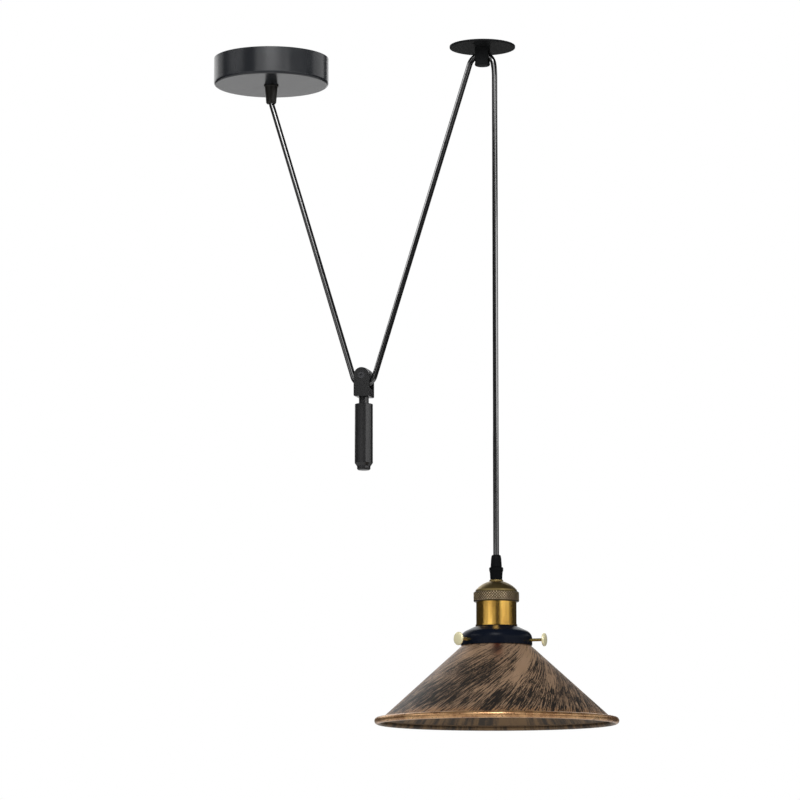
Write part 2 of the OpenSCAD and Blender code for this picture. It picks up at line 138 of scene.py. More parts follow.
def tube(name, path, radius, sides, across=(0, 1, 0)):
    """A round tube: ring i is path[i] + radius * (cos a * u + sin a * v).

    u is square to the path and as near to `across` as it can be, and v is square to both.
    The attribute lay is (cos a, sin a, metres along the path).
    """
    t = unit(np.gradient(path, axis=0))
    side = np.broadcast_to(np.array(across, float), path.shape)
    u = unit(side - (side * t).sum(axis=1, keepdims=True) * t)
    v = np.cross(t, u)
    a = np.arange(sides) * 2 * np.pi / sides
    ring = np.cos(a)[:, None] * u[:, None, :] + np.sin(a)[:, None] * v[:, None, :]
    points = (path[:, None, :] + radius * ring).reshape(-1, 3)
    along = np.append(0, np.cumsum(np.linalg.norm(np.diff(path, axis=0), axis=1)))
    lay = np.stack(np.broadcast_arrays(np.cos(a), np.sin(a), along[:, None]), axis=-1)
    first, last = list(range(sides))[::-1], [(len(path) - 1) * sides + k for k in range(sides)]
    return piece(name, points, grid_faces(len(path), sides), [first, last],
                 lay=lay.reshape(-1, 3))


class Value:
    """One output of a finish's nodes. Its operators add Math nodes, so 1 - mask works."""

    def __init__(self, finish, socket):
        self.finish, self.socket = finish, socket

    def maths(self, operation, *numbers):
        return self.finish.node("ShaderNodeMath", {"operation": operation},
                                dict(enumerate(numbers)))

    def __add__(self, other):
        return self.maths("ADD", self, other)

    def __sub__(self, other):
        return self.maths("SUBTRACT", self, other)

    def __rsub__(self, other):
        return self.maths("SUBTRACT", other, self)

    def __mul__(self, other):
        return self.maths("MULTIPLY", self, other)

    __radd__ = __add__
    __rmul__ = __mul__


class Finish:
    """A material with one Principled shader. The settings are that shader's own sockets."""

    def __init__(self, name, settings):
        self.material = bpy.data.materials.new(name)
        self.material.use_nodes = True
        self.tree = self.material.node_tree
        self.shader = self.tree.nodes["Principled BSDF"]
        self.feed(settings)

    def feed(self, inputs, node=None):
        """Gives sockets of a node, or of the shader, their values or links."""
        for socket, value in inputs.items():
            target = (node or self.shader).inputs[socket]
            if isinstance(value, Value):
                self.tree.links.new(value.socket, target)
            else:
                target.default_value = value

    def node(self, kind, settings, inputs, out=0):
        """Adds a node of that kind and returns one of its outputs as a Value."""
        node = self.tree.nodes.new(kind)
        for key, value in settings.items():
            setattr(node, key, value)
        self.feed(inputs, node)
        return Value(self, node.outputs[out])

    def place(self, centre=(0, 0, 0), stretch=(1, 1, 1)):
        """Object coordinates from that centre, stretched along the axes."""
        source = self.node("ShaderNodeTexCoord", {}, {}, "Object")
        offset = [-c * s for c, s in zip(centre, stretch)]
        return self.node("ShaderNodeMapping", {},
                         {"Vector": source, "Location": offset, "Scale": stretch})

    def attribute(self, name, out="Fac"):
        """A mesh attribute: out is Fac for a number and Vector for a vector."""
        return self.node("ShaderNodeAttribute", {"attribute_name": name}, {}, out)

    def noise(self, vector, size, detail=2.0, roughness=0.5):
        """Soft noise from 0 to 1 whose marks are about that size, in metres."""
        return self.node("ShaderNodeTexNoise", {}, {"Vector": vector, "Scale": 1 / size,
                                                    "Detail": detail,
                                                    "Roughness": roughness})

    def step(self, value, low, high):
        """0 below low, 1 above high, and smooth between them."""
        return self.node("ShaderNodeMapRange", {"interpolation_type": "SMOOTHSTEP"},
                         {"Value": value, "From Min": low, "From Max": high})

    def mix(self, first, second, factor):
        """A colour between first, at factor 0, and second, at factor 1."""
        colours = [c if isinstance(c, Value) else (*c, 1) for c in (first, second)]
        return self.node("ShaderNodeMix", {"data_type": "RGBA"},
                         {0: factor, 6: colours[0], 7: colours[1]}, 2)

    def bump(self, height, depth, normal=None):
        """The surface's normal where height, from 0 to 1, stands up to depth metres."""
        inputs = {"Strength": 1.0, "Distance": depth, "Height": height}
        if normal is not None:
            inputs["Normal"] = normal
        return self.node("ShaderNodeBump", {}, inputs)

    def on(self, *objects):
        """Gives the objects this finish."""
        for obj in objects:
            if not obj.material_slots:
                obj.data.materials.append(self.material)
            for slot in obj.material_slots:
                slot.material = self.material


pvc = Finish("cord_pvc", {"IOR": 1.55, "Specular IOR Level": 1.0, "Coat Roughness": 0.06})
draw_marks = pvc.noise(pvc.node("ShaderNodeMapping", {}, {
    "Vector": pvc.attribute("lay", "Vector"), "Scale": (1, 1, 12)}), 0.4, 2)
smears = pvc.noise(pvc.place(), 0.012, 2)
pvc.feed({"Base Color": pvc.mix((0.004, 0.004, 0.0045), (0.009, 0.009, 0.0095), smears),
          "Roughness": 0.09 + smears * 0.06, "Coat Weight": 0.8 + smears * 0.2,
          "Normal": pvc.bump(draw_marks, 0.00001)})

wheel = middle("pulley_wheel")
guide_x = middle("guide_post")[0]
lamp_x = middle("knurled_ring")[0]
grip_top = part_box("lamp_grip_cap")[1][2]
cord_top = -0.016                     # inside the rose's nipple
cord_foot = grip_top - 0.031          # inside the lampholder
apex_z = -0.0085
dip = 0.0085                          # the cord's centre line below the wheel's centre
exit_r, bend_r, arch_r, drop_r = 0.024, 0.0116, 0.014, 0.1
drop_turn = 8
long_step, bend_steps = 0.004, 22

exit_c = np.array([exit_r, -0.042])
under_c = np.array([wheel[0], wheel[2] - dip + bend_r])
left_c = np.array([guide_x, apex_z - arch_r])
right_c = np.array([guide_x, apex_z - bend_r])
to_wheel = under_c - exit_c
to_guide = left_c - under_c
rose_lean = math.degrees(math.atan2(to_wheel[0], -to_wheel[1])
                         + math.asin((exit_r - bend_r) / np.hypot(*to_wheel)))
guide_lean = math.degrees(math.atan2(to_guide[0], to_guide[1])
                          - math.asin((arch_r + bend_r) / np.hypot(*to_guide)))
exit_arc = arc(exit_c, exit_r, 180, 180 + rose_lean, 10)
under_in = arc(under_c, bend_r, 180 + rose_lean, 270, bend_steps)
under_out = arc(under_c, bend_r, 270, 360 - guide_lean, bend_steps)
over_in = arc(left_c, arch_r, 180 - guide_lean, 90, bend_steps)
over_out = arc(right_c, bend_r, 90, drop_turn, bend_steps)
drop_arc = arc([lamp_x - drop_r, over_out[-1][1] - drop_r * math.sin(math.radians(drop_turn))],
               drop_r, drop_turn, 0, 8)
top, foot = np.array([0, cord_top]), np.array([lamp_x, cord_foot])

routes = {
    "cord_rose_leg": [[top], run(top, exit_arc[0], long_step), exit_arc,
                      run(exit_arc[-1], under_in[0], long_step), under_in],
    "cord_guide_leg": [under_out, run(under_out[-1], over_in[0], long_step), over_in],
    "cord_drop": [over_out, drop_arc[1:], run(drop_arc[-1], foot, long_step), [foot]],
}
# Where each stretch comes out, and the two bodies that carry its ends. It changes from
# one to the other between the two points, which are the ends of its straight run.
stretches = {
    "cord_rose_leg": ((0, 0, -0.0455), ("ceiling", exit_arc[-1]),
                      ("counterweight", under_in[0])),
    "cord_guide_leg": ((wheel[0], 0, wheel[2] - dip), ("counterweight", under_out[-1]),
                       ("ceiling", over_in[0])),
    "cord_drop": ((guide_x, 0, apex_z), ("ceiling", drop_arc[-1]),
                  ("lamp", np.array([lamp_x, grip_top + 0.01]))),
}


def follows_far_end(points, start, end, ease=0.07):
    """The share of the far body's motion that each point takes. The pulled cord stays straight.

    Along the straight run t goes from 0 to 1. The share is (t - ease / 2) / (1 - ease),
    with a parabola over the first and last ease of it that rounds the two ends.
    """
    straight = end - start
    t = np.clip((points - start) @ straight / (straight @ straight), 0, 1)
    short, past = np.maximum(ease - t, 0), np.maximum(t - 1 + ease, 0)
    return (t - ease / 2 + (short ** 2 - past ** 2) / (2 * ease)) / (1 - ease)


for name, parts in routes.items():
    flat = np.concatenate(parts)
    path = np.stack([flat[:, 0], np.zeros(len(flat)), flat[:, 1]], axis=1)
    stretch = tube(name + "_flex", path, cord_d / 2, cord_sides)
    pvc.on(stretch)
    leaves, (near, start), (far, end) = stretches[name]
    start, end = (np.array([x, 0, z]) for x, z in (start, end))
    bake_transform(stretch)
    points = np.zeros(len(stretch.data.vertices) * 3)
    stretch.data.vertices.foreach_get("co", points)
    follows_far_end(points.reshape(-1, 3), start, end).astype(np.float32)
    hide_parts(name)


# ---------------------------------------------------------------------------------
# Ceiling rose cover and guide. The cover is a spun steel cup and the guide a turned
# plate and post, all in satin black powder coat, a little softer on the edges.
def powder_coat(name, colour, roughness, ior=1.5):
    """Satin paint: faint clouds in colour and gloss over a fine orange-peel grain."""
    paint = Finish(name, {"IOR": ior})
    clouds = paint.noise(paint.place(), 0.03, 3)
    peel = paint.noise(paint.place(), 0.0011, 2)
    dark = [c * 0.8 for c in colour]
    light = [c * 1.25 for c in colour]
    paint.feed({"Base Color": paint.mix(dark, light, clouds),
                "Roughness": roughness - 0.05 + clouds * 0.1,
                "Normal": paint.bump(peel, 0.00001)})
    return paint


node = frame["nodes"]
satin = powder_coat("rose_powder_coat", (0.0135, 0.015, 0.018), 0.23, 1.5)
satin.on(node["rose_cover"])
guide_paint = powder_coat("guide_powder_coat", (0.011, 0.0115, 0.012), 0.5, 1.065)
guide_paint.on(node["guide_plate"], node["guide_post"])


# ---------------------------------------------------------------------------------
# Cord grips. Moulded black nylon, screwed on the nipples: one piece at the rose, a cap
# and a body at the lamp. The mould leaves them smooth with a faint mottle.
def moulded(name, colour, roughness, mottle, gloss=0.5):
    """Moulded plastic: an even colour with a fine mottle of that depth."""
    plastic = Finish(name, {"IOR": 1.49, "Specular IOR Level": gloss})
    grain = plastic.noise(plastic.place(), 0.0007, 2)
    clouds = plastic.noise(plastic.place(), 0.012, 2)
    plastic.feed({"Base Color": plastic.mix([c * 0.85 for c in colour],
                                            [min(c * 1.15, 1) for c in colour], clouds),
                  "Roughness": roughness + grain * 0.08,
                  "Normal": plastic.bump(grain, mottle)})
    return plastic


moulded("rose_grip_nylon", (0.013, 0.0115, 0.009), 0.36, 0.00002, 0.35).on(node["rose_cord_grip"])
moulded("lamp_grip_nylon", (0.0035, 0.004, 0.0045), 0.4, 0.00002, 0.06).on(
    node["lamp_grip_cap"], node["lamp_grip_body"])


# ---------------------------------------------------------------------------------
# Plated and plain metal inside the rose and the holder: bracket, nipples, nuts, screws,
# inserts and contacts. Zinc has a soft bloom, and brass parts show turning marks.
def metal(name, colour, roughness, mark, depth, stretch=(1, 1, 1)):
    """Bare or plated metal with marks of that size and depth, drawn out by stretch."""
    bare = Finish(name, {"Metallic": 1.0})
    marks = bare.noise(bare.place(stretch=stretch), mark, 3)
    bloom = bare.noise(bare.place(), 0.009, 3)
    bare.feed({"Base Color": bare.mix([c * 0.82 for c in colour], colour, bloom),
               "Roughness": roughness - 0.06 + bloom * 0.12,
               "Normal": bare.bump(marks, depth)})
    return bare


zinc = metal("zinc_plate", (0.62, 0.64, 0.66), 0.34, 0.0016, 0.00002)
zinc.on(*[node[n] for n in ("rose_bracket", "terminal_screws", "block_screw",
                            "guide_post_screw", "guide_pin", "lamp_terminal_screws")])
brass = metal("plain_brass", (0.82, 0.62, 0.3), 0.28, 0.0009, 0.00002, (1, 1, 5))
brass.on(*[node[n] for n in ("rose_nipple", "rose_nuts", "terminal_inserts",
                             "holder_nipple", "holder_nut", "centre_contact",
                             "lamp_terminals")])


# ---------------------------------------------------------------------------------
# Terminal block and cores. The block is natural nylon. The cord's three cores leave its
# sheath, brown, blue and green with a yellow stripe, and each ends in a terminal.
moulded("terminal_nylon", (0.8, 0.79, 0.74), 0.35, 0.00003).on(node["terminal_block"])
core_d = 0.0019


def spline(points, steps):
    """A Catmull-Rom curve through the points, with that many steps between two."""
    p = np.concatenate([[2 * points[0] - points[1]], points, [2 * points[-1] - points[-2]]])
    a, b, c, d = (p[i:len(p) - 3 + i, None, :] for i in range(4))
    t = (np.arange(steps) / steps)[None, :, None]
    curve = 0.5 * (2 * b + (c - a) * t + (2 * a - 5 * b + 4 * c - d) * t ** 2
                   + (3 * b - 3 * c + d - a) * t ** 3)
    return np.concatenate([curve.reshape(-1, 3), points[-1:]])


def core_sleeve(name, colour, stripe=None):
    """Thin glossy insulation, with a second colour along one side where it has one."""
    sleeve = Finish(name, {"IOR": 1.52})
    tint = sleeve.mix([c * 0.8 for c in colour], colour, sleeve.noise(sleeve.place(), 0.004))
    if stripe:
        side = sleeve.node("ShaderNodeSeparateXYZ", {}, {0: sleeve.attribute("lay", "Vector")})
        tint = sleeve.mix(tint, stripe, sleeve.step(side, 0.25, 0.35))
    sleeve.feed({"Base Color": tint,
                 "Roughness": 0.25 + sleeve.noise(sleeve.place(), 0.003) * 0.15})
    return sleeve


sleeves = [core_sleeve("brown_sleeve", (0.13, 0.05, 0.02)),
           core_sleeve("earth_sleeve", (0.06, 0.28, 0.06), (0.75, 0.6, 0.03)),
           core_sleeve("blue_sleeve", (0.03, 0.12, 0.42))]
pole_z = middle("terminal_inserts")[2] * 1000
rose_cores = [
    [(1.2, 0, -16), (1.5, -0.5, -12), (2, -3.5, -9), (4, -8, -8), (8, -13, -9),
     (12.4, -15.5, -12), (15, -14, -14.4), (15, -10, pole_z), (15, -5, pole_z)],
    [(-0.6, -1.1, -16), (-0.6, -1.8, -12), (0, -5, -8.4), (4, -11, -6.6), (12, -16, -7.6),
     (19, -18, -11), (23.6, -16, -14), (24, -11, pole_z), (24, -5, pole_z)],
    [(-0.6, 1.1, -16), (-0.6, 0.8, -10), (-0.4, -2.6, -5.6), (3, -10, -4.2), (12, -17, -5),
     (22, -20, -8.6), (31, -19, -13.2), (33, -13, pole_z), (33, -5, pole_z)]]
lamp_core = np.array([(1.2, 0, -31.1), (1.6, 0, -33.5), (3, 0, -36.5), (4.4, 0, -38.6),
                      (6.2, 0, -39.6), (8.6, 0, -39.6)]) / 1000
core_names = ("brown", "earth", "blue")
rose_set, lamp_set = [], []
for i, (core, sleeve) in enumerate(zip(core_names, sleeves)):
    path = spline(np.array(rose_cores[i]) / 1000, 8)
    rose_set.append(tube("rose_core_" + core, path, core_d / 2, 12, (1, 1, 0.9)))
    a = math.radians(90 + 120 * i)
    turn = np.array([[math.cos(a), math.sin(a), 0], [-math.sin(a), math.cos(a), 0], [0, 0, 1]])
    path = spline(lamp_core, 8) @ turn + (lamp_x, 0, grip_top)
    lamp_set.append(tube("lamp_core_" + core, path, core_d / 2, 12,
                         (-math.sin(a), math.cos(a), 0)))
    sleeve.on(rose_set[i], lamp_set[i])
    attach(rose_set[i], "ceiling")
    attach(lamp_set[i], "lamp")
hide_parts("rose_wires")
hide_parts("lamp_wires")


# ---------------------------------------------------------------------------------
# Guide roller. A small grooved acetal roller on a steel pin in the post's window.
moulded("roller_acetal", (0.55, 0.53, 0.46), 0.3, 0.00001).on(node["guide_roller"])


# ---------------------------------------------------------------------------------
# Counterweight. A milled steel fork holds the wheel on a bronze bush and a socket screw.
# Fork, stem, weight and end cap are black, the wheel is dark nylon.
weight_paint = powder_coat("weight_black", (0.012, 0.012, 0.0125), 0.22)
weight_paint.on(*[node[n] for n in ("fork", "weight_stem", "weight", "weight_end_cap")])
metal("black_oxide", (0.09, 0.09, 0.095), 0.4, 0.0008, 0.00002).on(node["axle_screw"])
metal("bush_bronze", (0.6, 0.4, 0.2), 0.35, 0.0008, 0.00002).on(node["axle_bush"])
moulded("wheel_nylon", (0.03, 0.03, 0.032), 0.4, 0.00001).on(node["pulley_wheel"])


# ---------------------------------------------------------------------------------
# Lampholder. Turned brass collar, dome and body under a gold lacquer with browner clouds
# and a worn, bare lip. The lathe's fine rings still show round the body.
def turned_brass(name, colour, brown, roughness, centre, bare_lip):
    """Brass with fine lathe rings round a vertical axis, browner clouds and a worn lip.

    centre is a point of the axis at the lip's height, and bare_lip the worn part's height.
    """
    metal_finish = Finish(name, {"Metallic": 1.0, "Coat Roughness": 0.2})
    rings = metal_finish.noise(metal_finish.place(centre, (0.02, 0.02, 1)), 0.0009, 3, 0.7)
    clouds = metal_finish.noise(metal_finish.place(centre, (1, 1, 0.5)), 0.012, 3)
    local = metal_finish.node("ShaderNodeSeparateXYZ", {}, {0: metal_finish.place(centre)}, 2)
    worn = 1 - metal_finish.step(local, bare_lip * 0.7, bare_lip * 1.3)
    age = metal_finish.step(clouds, 0.35, 0.75)
    lacquer = metal_finish.mix(metal_finish.mix(colour, brown, age * 0.6),
                               [c * 0.75 for c in colour], rings * 0.5)
    metal_finish.feed({
        "Base Color": metal_finish.mix(lacquer, (0.85, 0.68, 0.5), worn),
        "Roughness": roughness + rings * 0.1 + age * 0.06 + worn * 0.3,
        "Coat Weight": 0.15 - age * 0.1,
        "Normal": metal_finish.bump(rings, 0.00002)})
    return metal_finish


body_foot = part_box("holder_body")[0][2]
turned_brass("gold_lacquer", (0.76, 0.46, 0.1), (0.42, 0.2, 0.04), 0.13,
             (lamp_x, 0, body_foot), 0.0014).on(node["holder_body"])
turned_brass("dome_lacquer", (0.38, 0.28, 0.11), (0.17, 0.12, 0.055), 0.34,
             (lamp_x, 0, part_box("holder_cap")[0][2]), 0.0004).on(
    node["holder_cap"], node["holder_collar"], node["shade_ring"])
moulded("glazed_porcelain", (0.84, 0.82, 0.77), 0.12, 0.00001).on(node["holder_insert"])


# ---------------------------------------------------------------------------------
# Turned rings. The knurled ring clamps dome and body together. Its diamonds stand
# between two sets of crossing grooves: their points are bright brass, and the grooves
# are painted near black as painted shade.
def turned(name, profile, segments, relief):
    """A ring: the closed profile of (radius, height) carried round the lamp's axis.

    relief gives, for the angle and each profile point, what is added to the radius.
    """
    r, z = profile.T
    if np.sum(r * np.roll(z, -1) - np.roll(r, -1) * z) < 0:
        profile = profile[::-1]
    turn = np.arange(segments) * 2 * np.pi / segments
    r = profile[:, :1] + relief(turn[None, :], profile)
    points = np.stack(np.broadcast_arrays(lamp_x + r * np.cos(turn), r * np.sin(turn),
                                          grip_top + profile[:, 1:]), axis=-1)
    return piece(name, points.reshape(-1, 3), grid_faces(len(profile), segments, True))


def rounded(corners, step=0.0004, arc_steps=6):
    """A closed outline whose corners are (x, y, radius), in metres.

    Each corner becomes an arc tangent to its sides, from radius / tan(half the angle)
    before it to as far after it, and long sides get points about a step apart.
    """
    out = []
    for i, (x, y, radius) in enumerate(corners):
        here = np.array([x, y])
        back = unit(np.array(corners[i - 1][:2]) - here)
        on = unit(np.array(corners[(i + 1) % len(corners)][:2]) - here)
        half = math.acos(max(-1, min(1, float(back @ on)))) / 2
        if radius == 0:
            out.append(here[None])
            continue
        centre = here + unit(back + on) * radius / math.sin(half)
        ends = [here + side * radius / math.tan(half) - centre for side in (back, on)]
        a0, a1 = (math.atan2(e[1], e[0]) for e in ends)
        sweep = (a1 - a0 + math.pi) % (2 * math.pi) - math.pi
        out.append(arc(centre, radius, math.degrees(a0), math.degrees(a0 + sweep), arc_steps))
    points = []
    for i, stretch in enumerate(out):
        points += [stretch, run(stretch[-1], out[(i + 1) % len(out)][0], step)]
    return np.concatenate(points)


knurls = 52
knurl_rise = 0.0028
knurl_depth = 0.0006
ring_low, ring_high = -0.0465, -0.0366
ring_r, ring_bore = 0.0226, 0.0199


def crossing_grooves(turn, profile):
    """How deep the knurl is cut: 0 on a diamond's point and 1 in a groove.

    A point's phase in each set of grooves is knurls * turn / 2 pi +- height / rise. The
    cut is the larger of the two distances from the middle of the ridge.
    """
    rows = profile[:, 1:] / knurl_rise
    columns = knurls * turn / (2 * np.pi)
    return np.maximum(*(np.abs((columns + s * rows) % 1 - 0.5) * 2 for s in (1, -1)))


def knurl_face(profile):
    """1 on the ring's outer face, fading to 0 over its rounded edges."""
    inset = np.minimum(profile[:, 1] - ring_low, ring_high - profile[:, 1])
    outside = profile[:, 0] > ring_r - 0.0012
    return (outside * np.clip(inset / 0.0011, 0, 1))[:, None]


ring_profile = rounded([(ring_bore, ring_low, 0.0003), (ring_r, ring_low, 0.0013),
                        (ring_r, ring_high, 0.0013), (0.0206, ring_high, 0.0003),
                        (0.0206, ring_high - 0.0013, 0), (0.0215, ring_high - 0.0013, 0),
                        (0.0215, ring_high - 0.0026, 0), (ring_bore, ring_high - 0.0026, 0)],
                       step=0.00021)
knurled = turned("knurled_clamp_ring", ring_profile, knurls * 10,
                 lambda turn, profile: -knurl_depth * knurl_face(profile)
                 * crossing_grooves(turn, profile))
ring_metal = Finish("knurled_bronze", {"Metallic": 1.0})
side = ring_metal.node("ShaderNodeVectorMath", {"operation": "LENGTH"},
                       {0: ring_metal.place((lamp_x, 0, 0), (1, 1, 0))}, "Value")
point = ring_metal.step(side, ring_r - knurl_depth * 0.7, ring_r - knurl_depth * 0.35)
tarnish = ring_metal.noise(ring_metal.place(), 0.01, 3)
# Painted shade: the grooves are near black, and the points keep the brass and tarnish colours.
ring_metal.feed({
    "Base Color": ring_metal.mix((0.02, 0.014, 0.009),
                                 ring_metal.mix((0.95, 0.76, 0.48), (0.6, 0.43, 0.25), tarnish),
                                 point),
    "Roughness": 0.34 - point * 0.12,
    "Normal": ring_metal.bump(ring_metal.noise(ring_metal.place(), 0.0004), 0.00001)})
ring_metal.on(knurled)
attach(knurled, "lamp")
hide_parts("knurled_ring")


# ---------------------------------------------------------------------------------
# Lamp thread. The screw shell is thin rolled brass, pressed into the round-topped
# thread of a standard 27 mm lamp cap, with a flat ring where the lamp's glass stops.
thread_pitch = 0.00363
thread_mean, thread_swing = 0.01305, 0.00042
shell_wall = 0.0004
shell_foot, shell_top = -0.076, -0.0565
shell_profile = rounded([(thread_mean, shell_foot, 0), (thread_mean + shell_wall, shell_foot, 0),
                         (thread_mean + shell_wall, shell_top + 0.0004, 0.0002),
                         (0.0096, shell_top + 0.0004, 0), (0.0096, shell_top, 0),
                         (thread_mean, shell_top, 0.0003)], step=0.0003)


def rolled_thread(turn, profile):
    """A right-handed wave: swing * sin(2 pi * height / pitch - turn) on the walls."""
    wall = np.clip((profile[:, :1] - thread_mean + 0.0006) / 0.0004, 0, 1)
    ease = np.clip((shell_top - profile[:, 1:]) / 0.0015, 0, 1)
    wave = np.sin(2 * np.pi * profile[:, 1:] / thread_pitch - turn)
    return thread_swing * wall * ease * wave


shell = turned("threaded_screw_shell", shell_profile, 128, rolled_thread)
brass.on(shell)
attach(shell, "lamp")
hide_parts("screw_shell")


# ---------------------------------------------------------------------------------
# Gallery and thumbscrews. The gallery is a spun steel cap in gloss blue-black enamel.
# Three polished brass thumbscrews through its skirt grip the shade's neck. Their knobs
# are painted pale cream and less metallic as a painted highlight, and their shanks dark
# olive as painted shade.
enamel = Finish("gallery_enamel", {"IOR": 1.4, "Specular IOR Level": 0.1})
flow = enamel.noise(enamel.place(), 0.02, 3)
enamel.feed({"Base Color": enamel.mix((0.003, 0.0045, 0.009), (0.005, 0.0075, 0.015), flow),
             "Roughness": 0.24 + flow * 0.1,
             "Normal": enamel.bump(enamel.noise(enamel.place(), 0.002, 2), 0.00001)})
enamel.on(node["gallery"])
thumb = Finish("brass_painted_highlight_and_shade", {})
reach = thumb.node("ShaderNodeVectorMath", {"operation": "LENGTH"},
                   {0: thumb.place((lamp_x, 0, 0), (1, 1, 0))}, "Value")
painted_highlight_knob = thumb.step(reach, 0.0472, 0.048)
handled = thumb.noise(thumb.place(), 0.0012, 3)
# Painted highlight and shade: the knob is pale cream and half as metallic, the shank dark olive
# brass.
thumb.feed({"Base Color": thumb.mix((0.42, 0.32, 0.1), (1, 0.93, 0.6), painted_highlight_knob),
            "Metallic": 0.9 - painted_highlight_knob * 0.5, "Roughness": 0.18 + handled * 0.12,
            "Normal": thumb.bump(handled, 0.00001)})
thumb.on(*[node[f"thumbscrew_{i}"] for i in (1, 2, 3)])


# ---------------------------------------------------------------------------------
# Shade. A spun cone with a short neck and a rolled rim, sprayed copper and dry-brushed
# with black: the strokes spiral down the outside and run straight up the inside.
neck_r, neck_top, shade_wall = 0.031, -0.0815, 0.0008
cone_rise = 1.105
bead_r, rim_z = 0.0034, -0.1635
rim_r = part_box("shade")[1][0] - lamp_x - bead_r
slope = math.hypot(1, cone_rise)
down = np.array([cone_rise, -1]) / slope       # down the cone, in (radius, height)
outward = np.array([1, cone_rise]) / slope
bead_c = np.array([rim_r, rim_z])
cone_end = bead_c - (0.0012, 0)
rim_gap = float((bead_c - cone_end) @ outward)


def meets_bead(offset):
    """Where the line down the cone, that far inside its outer face, meets the bead."""
    apart = rim_gap + offset
    return bead_c - apart * outward - math.sqrt(bead_r ** 2 - apart ** 2) * down


def bead_angle(point):
    """The angle of a point round the bead's centre, in degrees."""
    return math.degrees(math.atan2(*(point - bead_c)[::-1]))


neck_foot = rim_z + (cone_end[0] - neck_r) / cone_rise
neck_in = rim_z + (cone_end[0] - shade_wall * slope - neck_r + shade_wall) / cone_rise
seam, inner_seam = meets_bead(0), meets_bead(shade_wall)
lip_c, lip_r = np.array([neck_r + 0.0001, neck_top - 0.0001]), 0.0008
cone_step = 0.0014
lip = arc(lip_c, lip_r, -60, 185, 12)
shoulder_out = np.array([neck_r, neck_foot])
shoulder_in = np.array([neck_r - shade_wall, neck_in])
crease = seam - 0.0003 * outward + 0.0002 * down
bead = arc(bead_c, bead_r, bead_angle(seam) - 4, bead_angle(inner_seam) - 360, 40)
shade_profile = np.concatenate([
    lip[::-1], run(lip[0], shoulder_out, cone_step), [shoulder_out],
    run(shoulder_out, seam, cone_step), [seam, crease], bead,
    run(inner_seam, shoulder_in, cone_step), [shoulder_in],
    run(shoulder_in, lip[-1], cone_step)])
outside_rows = len(lip) + len(run(lip[0], shoulder_out, cone_step)) + 1 \
    + len(run(shoulder_out, seam, cone_step)) + 1
segments = 420

rows = np.arange(len(shade_profile))
outside = rows < outside_rows
inside = rows >= outside_rows + 1 + len(bead)
radius, height = shade_profile.T
turn = np.arange(segments) * 2 * np.pi / segments
slant = np.maximum(radius, 0.02) * slope / cone_rise


def drift(r):
    """How far a stroke has turned round the cone at radius r, in radians.

    Its lean to the slope falls outwards: tan(lean) = tan(38 degrees) * (0.07 / r) ** 0.6.
    The turn is the integral of slope / cone_rise * tan(lean) / r.
    """
    return -math.tan(math.radians(38)) * slope / cone_rise * (0.07 / r) ** 0.6 / 0.6


swirl = turn + np.where(outside, drift(np.maximum(radius, 0.02)), 0)[:, None]
girth = 0.1 * (radius / 0.1) ** 0.06
brush = np.stack(np.broadcast_arrays(girth[:, None] * np.cos(swirl),
                                     girth[:, None] * np.sin(swirl),
                                     0.07 * slant[:, None] + inside[:, None]), axis=-1)

# Where the brush pressed: (turn seen from the front, radius, half width, half length,
# weight). Negative weights leave the copper bare. Lengths are in metres.
front = -math.pi / 2 + view_turn
presses = [(-1, 0.094, 0.006, 0.024, 0.22), (28, 0.1, 0.011, 0.016, 0.08),
           (-30, 0.085, 0.025, 0.02, 0.1),
           (-12, 0.065, 0.012, 0.02, 0.04), (-58, 0.096, 0.03, 0.02, 0.12),
           (8, 0.1, 0.014, 0.012, 0.1), (-1, 0.097, 0.005, 0.012, 0.12),
           (43, 0.075, 0.006, 0.026, -0.2), (15, 0.07, 0.007, 0.026, -0.34),
           (32, 0.05, 0.006, 0.014, -0.2),
           (130, 0.085, 0.022, 0.030, 0.22), (-130, 0.075, 0.025, 0.030, 0.2),
           (170, 0.095, 0.030, 0.020, 0.16), (100, 0.06, 0.012, 0.03, -0.3)]
# The brush is half dry everywhere else, fullest half way down, and lifts off towards the
# neck and the rim. Inside, the strokes are all alike.
pressure = np.zeros((len(shade_profile), segments))
for degrees, at, half_width, half_length, weight in presses:
    gap = (turn[None, :] - front - math.radians(degrees) + np.pi) % (2 * np.pi) - np.pi
    gap = gap + drift(radius[:, None]) - drift(at)
    gap = (gap + np.pi) % (2 * np.pi) - np.pi
    pressure += weight * np.exp(-(gap * at / half_width) ** 2
                                - ((radius[:, None] - at) * slope / cone_rise / half_length) ** 2)
fade = np.clip((radius - 0.034) / 0.03, 0, 1) * np.clip((0.1135 - radius) / 0.012, 0, 1)
pressure = np.where(outside[:, None], pressure + 0.36 + 0.2 * fade[:, None] ** 0.5, 0.5)
# The bead's inward half takes the inside's dark brown as painted shade; only its outward half
# gets the orange copper.
round_bead = np.arctan2(height - rim_z, radius - rim_r)
on_bead = (rows > outside_rows) & ~inside
inside |= on_bead & (np.cos(round_bead) < 0)
rim = on_bead * np.clip(np.cos(round_bead) * 4 + 0.2, 0, 1)
